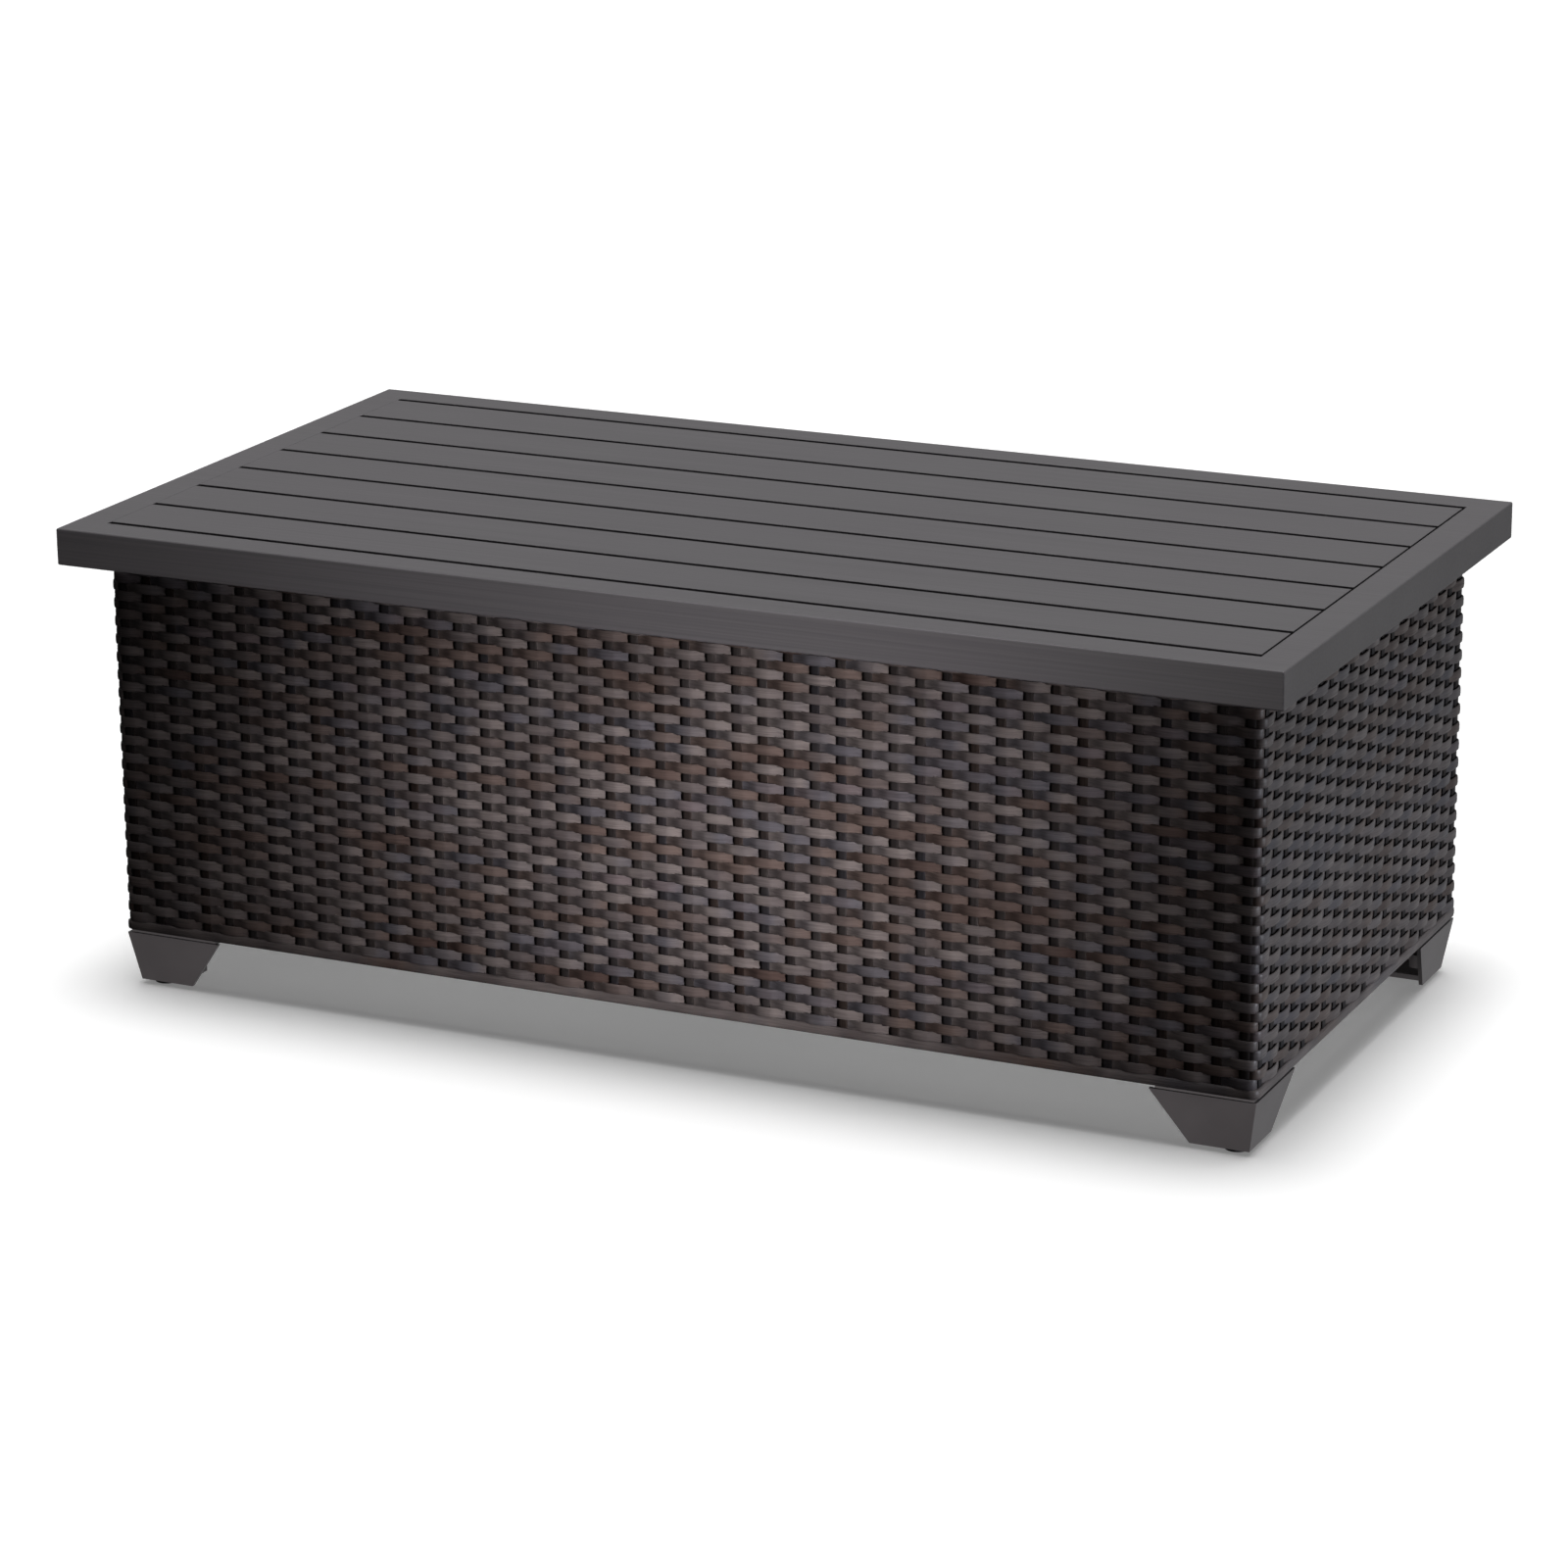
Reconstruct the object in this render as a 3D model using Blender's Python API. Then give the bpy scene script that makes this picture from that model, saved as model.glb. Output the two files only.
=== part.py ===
"""Outdoor coffee table: a slatted metal top on a woven resin box, on four levelling feet.

+X runs along the table, -Y is its front and +Z is up. The origin is on the floor under the
table's centre. Lengths are in metres. Names end in front, back, left (-X) and right (+X).
"""

import math

import bmesh
import bpy
from mathutils import Vector

GAP = 0.0003  # clearance between pieces that touch

# Whole table
LENGTH = 1.2192
DEPTH = 0.638
HEIGHT = 0.462

# Top: a mitred frame of box tube round hollow slats
TOP_THICKNESS = 0.0354
LONG_RAIL_WIDTH = 0.0365
END_RAIL_WIDTH = 0.034
RAIL_EDGE_RADIUS = 0.0022
SLAT_COUNT = 7
SLAT_THICKNESS = 0.015
SLAT_EDGE_RADIUS = 0.0012
GROOVE = 0.007
SLAT_END_GAP = 0.002  # open joint at the right-hand ends of the slats
TOP_WALL = 0.0015
CROSS_BAR_WIDTH = 0.025
CROSS_BAR_X = 0.48

# Woven box
END_OVERHANG = 0.030
LONG_OVERHANG = 0.0395
BODY_BOTTOM = 0.057
SKIN_THICKNESS = 0.007

# Base frame inside the woven box
POST_SIZE = 0.030
RAIL_SIZE = 0.025
STILE_SIZE = 0.020
STILE_X = 0.19
BASE_WALL = 0.0015
TUBE_CORNER = 0.001

# Feet: L-shaped castings, tapered downwards
FOOT_BOTTOM = 0.0045
FOOT_WALL = 0.004
FOOT_SEAM = 0.003  # shadow gap between the foot's face and the weave
FOOT_TOP_INSET = 0.002
FOOT_BOTTOM_INSET = 0.0105
FOOT_TOP_REACH = 0.103
FOOT_BOTTOM_REACH = 0.067
FOOT_FLANGE_REACH = 0.098
FOOT_FLANGE_WIDTH = 0.0265
FOOT_FLANGE_THICKNESS = 0.0045
FOOT_PLATE_REACH = 0.056
FOOT_PLATE_THICKNESS = 0.005
BOSS_RADIUS = 0.009
BOSS_TOP = 0.0225

# Levelling glides
GLIDE_INSET = 0.028  # from both faces of the woven box
STUD_RADIUS = 0.004
STUD_BOTTOM = 0.0020
STUD_TOP = 0.0300
PAD_RADIUS = 0.012
PAD_TOP = 0.0042
PAD_CHAMFER = 0.0008

# Fasteners: (shank radius, head radius, head height)
FOOT_SCREW = (0.0025, 0.0045, 0.0026)
FOOT_SCREW_REACH = 0.082
FOOT_SCREW_LENGTH = 0.012
TOP_BOLT = (0.0030, 0.0055, 0.0034)
TOP_BOLT_LENGTH = 0.036

# Worked out from the dimensions above
HALF_LENGTH = LENGTH / 2
HALF_DEPTH = DEPTH / 2
TOP_UNDERSIDE = HEIGHT - TOP_THICKNESS
INNER_HALF_LENGTH = HALF_LENGTH - END_RAIL_WIDTH
INNER_HALF_DEPTH = HALF_DEPTH - LONG_RAIL_WIDTH
SLAT_WIDTH = (2 * INNER_HALF_DEPTH - (SLAT_COUNT + 1) * GROOVE) / SLAT_COUNT
SLAT_PITCH = SLAT_WIDTH + GROOVE
CROSS_BAR_HEIGHT = TOP_THICKNESS - SLAT_THICKNESS - GAP
BODY_HALF_LENGTH = HALF_LENGTH - END_OVERHANG
BODY_HALF_DEPTH = HALF_DEPTH - LONG_OVERHANG
BODY_TOP = TOP_UNDERSIDE - GAP
FRAME_INSET = SKIN_THICKNESS + GAP
RAIL_INSET = FRAME_INSET + RAIL_SIZE / 2  # from the weave's face to a base rail's centre

CORNERS = {
    "front_left": (-1, -1),
    "front_right": (1, -1),
    "back_left": (-1, 1),
    "back_right": (1, 1),
}


def clear_scene():
    for obj in list(bpy.data.objects):
        bpy.data.objects.remove(obj, do_unlink=True)


def material(name, colour, roughness, metallic):
    made = bpy.data.materials.new(name)
    made.use_nodes = True
    shader = made.node_tree.nodes["Principled BSDF"]
    shader.inputs["Base Color"].default_value = (*colour, 1.0)
    shader.inputs["Roughness"].default_value = roughness
    shader.inputs["Metallic"].default_value = metallic
    return made


def empty(name, location):
    made = bpy.data.objects.new(name, None)
    made.location = location
    bpy.context.collection.objects.link(made)
    return made


def add(name, mesh, finish, parent, location, turn=(0, 0, 0), scale=(1, 1, 1)):
    """An object of this mesh at a place in the table's own frame, held by its parent empty."""
    made = bpy.data.objects.new(name, mesh)
    if not mesh.materials:
        mesh.materials.append(finish)
    made.parent = parent
    made.location = Vector(location) - parent.location
    made.rotation_euler = turn
    made.scale = scale
    bpy.context.collection.objects.link(made)
    return made


def mesh_from(bm, name, smooth_angle=None):
    bmesh.ops.recalc_face_normals(bm, faces=bm.faces)
    mesh = bpy.data.meshes.new(name)
    bm.to_mesh(mesh)
    bm.free()
    if smooth_angle is not None:
        mesh.shade_smooth()
        mesh.set_sharp_from_angle(angle=math.radians(smooth_angle))
    return mesh


def rounded_rectangle(width, height, radius, steps):
    """Points round a rectangle with rounded corners, steps + 1 of them to a corner."""
    points = []
    for corner, (sx, sy) in enumerate(((1, 1), (-1, 1), (-1, -1), (1, -1))):
        centre = (sx * (width / 2 - radius), sy * (height / 2 - radius))
        for step in range(steps + 1):
            angle = math.radians(90) * (corner + step / steps)
            points.append(
                (centre[0] + radius * math.cos(angle), centre[1] + radius * math.sin(angle))
            )
    return points


def tube_mesh(name, half_length, width, height, wall, radius, steps, mitre=0.0):
    """An open-ended box tube along local X. mitre is how much shorter each end is at local +Y."""
    loops = (
        rounded_rectangle(width, height, radius, steps),
        rounded_rectangle(width - 2 * wall, height - 2 * wall, radius / 2, steps),
    )
    bm = bmesh.new()
    rings = []
    for loop in loops:
        for end in (-1, 1):
            ring = []
            for y, z in loop:
                reach = half_length - mitre * (y / width + 0.5)
                ring.append(bm.verts.new((end * reach, y, z)))
            rings.append(ring)
    outer_low, outer_high, inner_low, inner_high = rings
    count = len(outer_low)
    pairs = (
        (outer_low, outer_high),
        (inner_low, inner_high),
        (outer_low, inner_low),
        (outer_high, inner_high),
    )
    for first, second in pairs:
        for i in range(count):
            j = (i + 1) % count
            bm.faces.new((first[i], first[j], second[j], second[i]))
    return mesh_from(bm, name, smooth_angle=50)


def box_mesh(name, low, high):
    bm = bmesh.new()
    bmesh.ops.create_cube(bm, size=1.0)
    centre = (Vector(low) + Vector(high)) / 2
    size = Vector(high) - Vector(low)
    for vert in bm.verts:
        vert.co = centre + Vector(a * b for a, b in zip(vert.co, size))
    return mesh_from(bm, name)


def loft_mesh(name, top_loop, bottom_loop):
    """A closed solid between two loops with the same number of points."""
    bm = bmesh.new()
    top = [bm.verts.new(point) for point in top_loop]
    bottom = [bm.verts.new(point) for point in bottom_loop]
    bm.faces.new(top)
    bm.faces.new(bottom)
    for i in range(len(top)):
        j = (i + 1) % len(top)
        bm.faces.new((top[i], top[j], bottom[j], bottom[i]))
    return mesh_from(bm, name)


def turned_mesh(name, profile, segments):
    """A solid turned about Z from (radius, height) points that start and end on the axis."""
    bm = bmesh.new()
    start = bm.verts.new((0, 0, profile[0][1]))
    end = bm.verts.new((0, 0, profile[-1][1]))
    rings = []
    for radius, height in profile[1:-1]:
        ring = []
        for i in range(segments):
            angle = 2 * math.pi * i / segments
            ring.append(bm.verts.new((radius * math.cos(angle), radius * math.sin(angle), height)))
        rings.append(ring)
    for i in range(segments):
        j = (i + 1) % segments
        bm.faces.new((start, rings[0][i], rings[0][j]))
        bm.faces.new((end, rings[-1][i], rings[-1][j]))
        for lower, upper in zip(rings, rings[1:]):
            bm.faces.new((lower[i], lower[j], upper[j], upper[i]))
    return mesh_from(bm, name, smooth_angle=40)


def helper(name, mesh):
    """A guide that a Boolean joins or cuts with, which isn't a piece of the table."""
    made = bpy.data.objects.new(name, mesh)
    made.hide_render = True
    made.display_type = "WIRE"
    bpy.context.collection.objects.link(made)
    return made


def combine(target, other, operation):
    boolean = target.modifiers.new(other.name, "BOOLEAN")
    boolean.operation = operation
    boolean.object = other
    boolean.solver = "EXACT"


def drill(target, place, radius, low, high, sides=16):
    """Cuts an upright hole. place is the hole's (x, y) in the table's frame."""
    profile = [(0, low), (radius, low), (radius, high), (0, high)]
    cutter = helper(target.name + "_hole", turned_mesh("hole", profile, sides))
    cutter.location = (place[0], place[1], 0)
    combine(target, cutter, "DIFFERENCE")


def finished_mesh(obj, name):
    """The mesh of an object with its modifiers applied, for its copies to share."""
    bpy.context.view_layer.update()
    graph = bpy.context.evaluated_depsgraph_get()
    mesh = bpy.data.meshes.new_from_object(obj.evaluated_get(graph))
    mesh.name = name
    return mesh


def screw_mesh(name, sizes, length):
    """A round-headed screw that points up: its head's seat is at height 0, its tip at length."""
    shank, head, head_height = sizes
    point = shank * 0.7
    profile = [
        (0, -head_height),
        (head * 0.62, -head_height),
        (head * 0.9, -head_height * 0.7),
        (head, -head_height * 0.35),
        (head, 0),
        (shank, 0),
        (shank, length - (shank - point)),
        (point, length),
        (0, length),
    ]
    blank = helper(name + "_blank", turned_mesh(name, profile, 14))
    socket = head * 0.42
    drill(blank, (0, 0), socket, -2 * head_height, -head_height * 0.45, sides=6)
    return finished_mesh(blank, name)


def build_top(top, finish):
    """The mitred frame, the slats inside it and the bars that carry them."""
    middle = HEIGHT - TOP_THICKNESS / 2
    rail_size = {"height": TOP_THICKNESS, "wall": TOP_WALL, "radius": RAIL_EDGE_RADIUS, "steps": 3}
    long_rail = tube_mesh(
        "long_rail", HALF_LENGTH - GAP, LONG_RAIL_WIDTH, mitre=END_RAIL_WIDTH, **rail_size
    )
    end_rail = tube_mesh(
        "end_rail", HALF_DEPTH - GAP, END_RAIL_WIDTH, mitre=LONG_RAIL_WIDTH, **rail_size
    )
    long_y = HALF_DEPTH - LONG_RAIL_WIDTH / 2
    end_x = HALF_LENGTH - END_RAIL_WIDTH / 2
    quarter = math.radians(90)
    add("top_rail_front", long_rail, finish, top, (0, -long_y, middle))
    add("top_rail_back", long_rail, finish, top, (0, long_y, middle), (0, 0, 2 * quarter))
    add("top_rail_left", end_rail, finish, top, (-end_x, 0, middle), (0, 0, -quarter))
    add("top_rail_right", end_rail, finish, top, (end_x, 0, middle), (0, 0, quarter))

    slat_left = -INNER_HALF_LENGTH + GAP
    slat_right = INNER_HALF_LENGTH - SLAT_END_GAP
    slat = tube_mesh(
        "slat",
        (slat_right - slat_left) / 2,
        SLAT_WIDTH,
        SLAT_THICKNESS,
        TOP_WALL,
        SLAT_EDGE_RADIUS,
        steps=2,
    )
    slat_x = (slat_left + slat_right) / 2
    slat_z = HEIGHT - SLAT_THICKNESS / 2
    for i in range(SLAT_COUNT):
        y = (i - (SLAT_COUNT - 1) / 2) * SLAT_PITCH
        add(f"slat_{i + 1}", slat, finish, top, (slat_x, y, slat_z))


def build_cross_bars(top, finish):
    """Bars under the slats, which rest on the base. The outer two take the top's bolts."""
    centre = TOP_UNDERSIDE + CROSS_BAR_HEIGHT / 2
    for name, x in (("left", -CROSS_BAR_X), ("middle", 0), ("right", CROSS_BAR_X)):
        tube = tube_mesh(
            "cross_bar",
            INNER_HALF_DEPTH - GAP,
            CROSS_BAR_WIDTH,
            CROSS_BAR_HEIGHT,
            TOP_WALL,
            TUBE_CORNER,
            steps=1,
        )
        turn = (0, 0, math.radians(90))
        bar = add("cross_bar_" + name, tube, finish, top, (x, 0, centre), turn)
        if x:
            for y in (-1, 1):
                place = (x, y * (BODY_HALF_DEPTH - RAIL_INSET))
                drill(bar, place, TOP_BOLT[0] + GAP, BODY_TOP - GAP, centre)


def build_base(base, finish):
    """Posts, rails and stiles of square tube, set in by the thickness of the weave."""
    post_x = BODY_HALF_LENGTH - FRAME_INSET - POST_SIZE / 2
    post_y = BODY_HALF_DEPTH - FRAME_INSET - POST_SIZE / 2
    post_half = (BODY_TOP - BODY_BOTTOM) / 2
    post_z = (BODY_TOP + BODY_BOTTOM) / 2
    upright = (0, math.radians(-90), 0)
    along_y = (0, 0, math.radians(90))
    square = {"wall": BASE_WALL, "radius": TUBE_CORNER, "steps": 1}

    post = tube_mesh("post", post_half, POST_SIZE, POST_SIZE, **square)
    for corner, (sx, sy) in CORNERS.items():
        add("post_" + corner, post, finish, base, (sx * post_x, sy * post_y, post_z), upright)

    rail_x = BODY_HALF_LENGTH - RAIL_INSET
    rail_y = BODY_HALF_DEPTH - RAIL_INSET
    long_half = post_x - POST_SIZE / 2 - GAP
    end_half = post_y - POST_SIZE / 2 - GAP
    heights = {"top": BODY_TOP - RAIL_SIZE / 2, "bottom": BODY_BOTTOM + RAIL_SIZE / 2}
    for level, z in heights.items():
        for side, sign in (("front", -1), ("back", 1)):
            tube = tube_mesh("base_long_rail", long_half, RAIL_SIZE, RAIL_SIZE, **square)
            name = f"base_{level}_rail_{side}"
            rail = add(name, tube, finish, base, (0, sign * rail_y, z))
            for x in (-1, 1):
                if level == "top":
                    place = (x * CROSS_BAR_X, sign * rail_y)
                    drill(rail, place, TOP_BOLT[0] + GAP, z - RAIL_SIZE, z + RAIL_SIZE)
                else:
                    place = (x * (BODY_HALF_LENGTH - FOOT_SCREW_REACH), sign * rail_y)
                    drill(rail, place, FOOT_SCREW[0] + GAP, z - RAIL_SIZE, z)
        for side, sign in (("left", -1), ("right", 1)):
            tube = tube_mesh("base_end_rail", end_half, RAIL_SIZE, RAIL_SIZE, **square)
            name = f"base_{level}_rail_{side}"
            rail = add(name, tube, finish, base, (sign * rail_x, 0, z), along_y)
            if level == "bottom":
                for y in (-1, 1):
                    place = (sign * rail_x, y * (BODY_HALF_DEPTH - FOOT_SCREW_REACH))
                    drill(rail, place, FOOT_SCREW[0] + GAP, z - RAIL_SIZE, z)

    stile_half = post_half - RAIL_SIZE - GAP
    stile = tube_mesh("stile", stile_half, STILE_SIZE, STILE_SIZE, **square)
    stile_y = BODY_HALF_DEPTH - FRAME_INSET - STILE_SIZE / 2
    for side, sy in (("front", -1), ("back", 1)):
        for end, sx in (("left", -1), ("right", 1)):
            place = (sx * STILE_X, sy * stile_y, post_z)
            add(f"stile_{side}_{end}", stile, finish, base, place, upright)


def build_weave(base, finish):
    """The woven skins, one solid to a side. The long ones cover the ends of the short ones."""
    inner = BODY_HALF_DEPTH - SKIN_THICKNESS
    long_skin = box_mesh(
        "long_skin",
        (-BODY_HALF_LENGTH, -SKIN_THICKNESS / 2, BODY_BOTTOM),
        (BODY_HALF_LENGTH, SKIN_THICKNESS / 2, BODY_TOP),
    )
    end_skin = box_mesh(
        "end_skin",
        (-SKIN_THICKNESS / 2, -inner + GAP, BODY_BOTTOM),
        (SKIN_THICKNESS / 2, inner - GAP, BODY_TOP),
    )
    long_y = BODY_HALF_DEPTH - SKIN_THICKNESS / 2
    end_x = BODY_HALF_LENGTH - SKIN_THICKNESS / 2
    add("weave_front", long_skin, finish, base, (0, -long_y, 0))
    add("weave_back", long_skin, finish, base, (0, long_y, 0))
    add("weave_left", end_skin, finish, base, (-end_x, 0, 0))
    add("weave_right", end_skin, finish, base, (end_x, 0, 0))


def foot_walls():
    """The foot's two tapered faces as one L, for the corner at +X +Y, measured from that corner."""

    def loop(inset, reach, z):
        inner = inset + FOOT_WALL
        outline = (
            (inset, inset),
            (reach, inset),
            (reach, inner),
            (inner, inner),
            (inner, reach),
            (inset, reach),
        )
        return [(-a, -b, z) for a, b in outline]

    top = loop(FOOT_TOP_INSET, FOOT_TOP_REACH, BODY_BOTTOM - FOOT_SEAM)
    bottom = loop(FOOT_BOTTOM_INSET, FOOT_BOTTOM_REACH, FOOT_BOTTOM)
    return loft_mesh("foot_walls", top, bottom)


def foot_mesh():
    """A corner foot: tapered walls, a flange that screws to the base and a plate with a boss."""
    blank = helper("foot_blank", foot_walls())
    near = -(FOOT_TOP_INSET + FOOT_WALL * 0.75)
    flange_top = BODY_BOTTOM - GAP
    flange_low = flange_top - FOOT_FLANGE_THICKNESS
    legs = (
        ((-FOOT_FLANGE_REACH, -FOOT_FLANGE_WIDTH), (near, near)),
        ((-FOOT_FLANGE_WIDTH, -FOOT_FLANGE_REACH), (near, near)),
    )
    for low, high in legs:
        leg = box_mesh("foot_leg", (*low, flange_low), (*high, flange_top))
        combine(blank, helper("foot_leg", leg), "UNION")
    plate_near = -(FOOT_BOTTOM_INSET + FOOT_WALL / 2)
    plate = box_mesh(
        "foot_plate",
        (-FOOT_PLATE_REACH, -FOOT_PLATE_REACH, FOOT_BOTTOM),
        (plate_near, plate_near, FOOT_BOTTOM + FOOT_PLATE_THICKNESS),
    )
    combine(blank, helper("foot_plate", plate), "UNION")
    boss_low = FOOT_BOTTOM + FOOT_PLATE_THICKNESS / 2
    profile = [(0, boss_low), (BOSS_RADIUS, boss_low), (BOSS_RADIUS, BOSS_TOP), (0, BOSS_TOP)]
    boss = helper("foot_boss", turned_mesh("foot_boss", profile, 20))
    boss.location = (-GLIDE_INSET, -GLIDE_INSET, 0)
    combine(blank, boss, "UNION")
    drill(blank, (-GLIDE_INSET, -GLIDE_INSET), STUD_RADIUS + GAP, 0, 2 * BOSS_TOP)
    for place in ((-FOOT_SCREW_REACH, -RAIL_INSET), (-RAIL_INSET, -FOOT_SCREW_REACH)):
        drill(blank, place, FOOT_SCREW[0] + GAP, flange_low - GAP, BODY_BOTTOM)
    return finished_mesh(blank, "foot")


def build_feet(base, cast, steel, resin):
    """The four feet, their screws, and the glides that screw in and out of them."""
    foot = foot_mesh()
    screw = screw_mesh("foot_screw", FOOT_SCREW, FOOT_SCREW_LENGTH)
    seat = BODY_BOTTOM - GAP - FOOT_FLANGE_THICKNESS - GAP
    stud_end = STUD_RADIUS * 0.75
    stud = turned_mesh(
        "glide_stud",
        [
            (0, STUD_BOTTOM),
            (STUD_RADIUS, STUD_BOTTOM),
            (STUD_RADIUS, STUD_TOP - (STUD_RADIUS - stud_end)),
            (stud_end, STUD_TOP),
            (0, STUD_TOP),
        ],
        16,
    )
    pocket = STUD_RADIUS + GAP
    pocket_floor = STUD_BOTTOM - GAP
    pad = turned_mesh(
        "glide_pad",
        [
            (0, 0),
            (PAD_RADIUS - PAD_CHAMFER, 0),
            (PAD_RADIUS, PAD_CHAMFER),
            (PAD_RADIUS, PAD_TOP - PAD_CHAMFER),
            (PAD_RADIUS - PAD_CHAMFER, PAD_TOP),
            (pocket, PAD_TOP),
            (pocket, pocket_floor),
            (0, pocket_floor),
        ],
        24,
    )
    for corner, (sx, sy) in CORNERS.items():
        x, y = sx * BODY_HALF_LENGTH, sy * BODY_HALF_DEPTH
        add("foot_" + corner, foot, cast, base, (x, y, 0), scale=(sx, sy, 1))
        long_side = (x - sx * FOOT_SCREW_REACH, y - sy * RAIL_INSET, seat)
        end_side = (x - sx * RAIL_INSET, y - sy * FOOT_SCREW_REACH, seat)
        add(f"foot_screw_{corner}_long", screw, steel, base, long_side)
        add(f"foot_screw_{corner}_end", screw, steel, base, end_side)
        axis = (x - sx * GLIDE_INSET, y - sy * GLIDE_INSET, 0)
        glide = empty("glide_" + corner, axis)
        add("glide_stud_" + corner, stud, steel, glide, axis)
        add("glide_pad_" + corner, pad, resin, glide, axis)


def build_top_bolts(base, steel):
    """The bolts that pass up through the base's top rails into the outer cross bars."""
    bolt = screw_mesh("top_bolt", TOP_BOLT, TOP_BOLT_LENGTH)
    seat = BODY_TOP - RAIL_SIZE - GAP
    for corner, (sx, sy) in CORNERS.items():
        place = (sx * CROSS_BAR_X, sy * (BODY_HALF_DEPTH - RAIL_INSET), seat)
        add("top_bolt_" + corner, bolt, steel, base, place)


def main():
    clear_scene()
    top_coat = material("top_powder_coat", (0.125, 0.118, 0.123), 0.45, 0.2)
    frame_coat = material("frame_powder_coat", (0.05, 0.045, 0.045), 0.5, 0.2)
    foot_coat = material("foot_powder_coat", (0.075, 0.066, 0.066), 0.45, 0.2)
    wicker = material("resin_wicker", (0.045, 0.032, 0.028), 0.42, 0.0)
    steel = material("zinc_steel", (0.55, 0.55, 0.56), 0.35, 1.0)
    nylon = material("black_nylon", (0.012, 0.012, 0.013), 0.55, 0.0)

    base = empty("base", (0, 0, 0))
    top = empty("top", (0, 0, TOP_UNDERSIDE))
    build_top(top, top_coat)
    build_cross_bars(top, frame_coat)
    build_base(base, frame_coat)
    build_weave(base, wicker)
    build_feet(base, foot_coat, steel, nylon)
    build_top_bolts(base, steel)


main()
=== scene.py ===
"""Looks of the outdoor coffee table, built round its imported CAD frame.

+X runs along the table, -Y is its front and +Z is up. Lengths are in metres. The woven box is
made of real strands: flat wefts that run round the box, in and out of upright stakes.
"""

import math
from typing import NamedTuple

import bmesh
import bpy
import numpy as np
from mathutils import Matrix, Vector


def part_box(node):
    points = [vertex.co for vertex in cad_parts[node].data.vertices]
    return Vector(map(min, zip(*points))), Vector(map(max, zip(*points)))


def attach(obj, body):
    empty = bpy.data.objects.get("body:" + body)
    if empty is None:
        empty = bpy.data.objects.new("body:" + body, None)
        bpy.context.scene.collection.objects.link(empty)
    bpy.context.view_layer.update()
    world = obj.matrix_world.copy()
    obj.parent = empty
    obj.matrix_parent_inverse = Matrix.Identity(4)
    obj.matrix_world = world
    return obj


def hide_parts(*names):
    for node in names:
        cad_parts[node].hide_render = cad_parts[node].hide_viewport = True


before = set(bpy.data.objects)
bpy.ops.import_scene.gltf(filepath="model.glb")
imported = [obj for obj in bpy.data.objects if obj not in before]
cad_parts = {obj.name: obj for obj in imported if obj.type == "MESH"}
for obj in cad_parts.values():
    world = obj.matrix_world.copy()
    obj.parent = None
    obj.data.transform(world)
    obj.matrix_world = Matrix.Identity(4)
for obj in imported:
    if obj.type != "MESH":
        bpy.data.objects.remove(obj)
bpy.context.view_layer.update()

ROOT = "table"
MM = 0.001
CORNERS = ("front_left", "front_right", "back_left", "back_right")

# Weave
LONG_STAKES = 45
END_STAKES = 20
CORNER_TO_STAKE = 14 * MM  # from the box's corner to the middle of the nearest stake
ROW_PITCH = 8.9 * MM
STRAND_WIDTH = 10.0 * MM
STRAND_SPREAD = 6.7 * MM  # how much wider a weft lies behind a stake, where nothing holds it
STRAND_DOME = 0.9 * MM  # a strand's outer face, from its middle line
STRAND_BACK = 1.5 * MM
STAKE_WIDTH = 9.0 * MM
STAKE_DOME = 0.7 * MM
STAKE_DEPTH = 0.35 * MM  # how far in a stake stands from the wefts' middle line
STAKE_PUSH = 0.2 * MM  # how far a weft presses it in or out
SWING = 2.2 * MM  # how far a weft swings out over a stake, and in behind the next
TROUGH = 1.8  # how quickly a weft dives behind a stake: 1 is as gently as it comes out over one
SWING_SPREAD = 0.10  # share by which the swing differs from stake to stake
ROW_WANDER = 0.12 * MM
CORNER_RADIUS = 5 * MM
BORDER_HEIGHT = 9.5 * MM
BORDER_THICKNESS = 3.4 * MM
BORDER_INSET = 0.2 * BORDER_THICKNESS  # from the weave's outer face to the border's
STEPS = (0.0, 0.18, 0.34, 0.5, 0.66, 0.82)  # rings between one stake and the next
CORNER_STEPS = tuple(i / 10 for i in range(10))
SEED = 12

# A strip's number sets its tones. A weft's is its row, and the others start from these.
STAKE_MARK = 100
BORDER_MARK = 300

# Faces that meet at a sharper angle than this, in degrees, keep an edge
METAL_SHARP = 40
PAD_SHARP = 35
THREAD_SHARP = 50

# Metal top
OUTER_EDGE = 1.6 * MM
INNER_EDGE = 0.5 * MM
RIM_CORNER = 1.6 * MM
SLAT_EDGE = 0.5 * MM
ARC_STEPS = 5

# Feet and glides
FOOT_EDGE = 0.7 * MM
STUD_RADIUS = 4.0 * MM
STUD_PLAY = 0.3 * MM
THREAD_PITCH = 1.25 * MM
THREAD_DEPTH = 0.65 * MM
THREAD_RINGS = 6  # rings in one turn of the thread
THREAD_SIDES = 32
THREAD_FLANK = 2.4  # steepness of its flanks
THREAD_ROOT = 0.1  # flatness of its root
PAD_EDGE = 1.0 * MM
PAD_DISH = 0.6 * MM  # depth of the rings under a pad
PAD_FLOOR = 1.7 * MM
PAD_MIDDLE = (0.34, 0.40)  # shares of a pad's radius where its middle dish rises, from and to
PAD_RINGS = (0.55, 0.72)  # shares of its radius where its rings lie
PAD_RING_SLOPE = 0.03
PAD_SEGMENTS = 64

# Camera: the side of the table it looks from, in degrees, and its lens on a 36 mm sensor
CAMERA_AZIMUTH = 25.203
CAMERA_ELEVATION = 17.255
CAMERA_ROLL = -0.455
CAMERA_TARGET = (-0.0015, -0.0114, 0.1994)
CAMERA_DISTANCE = 4.9278
CAMERA_LENS = 118.29


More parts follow.
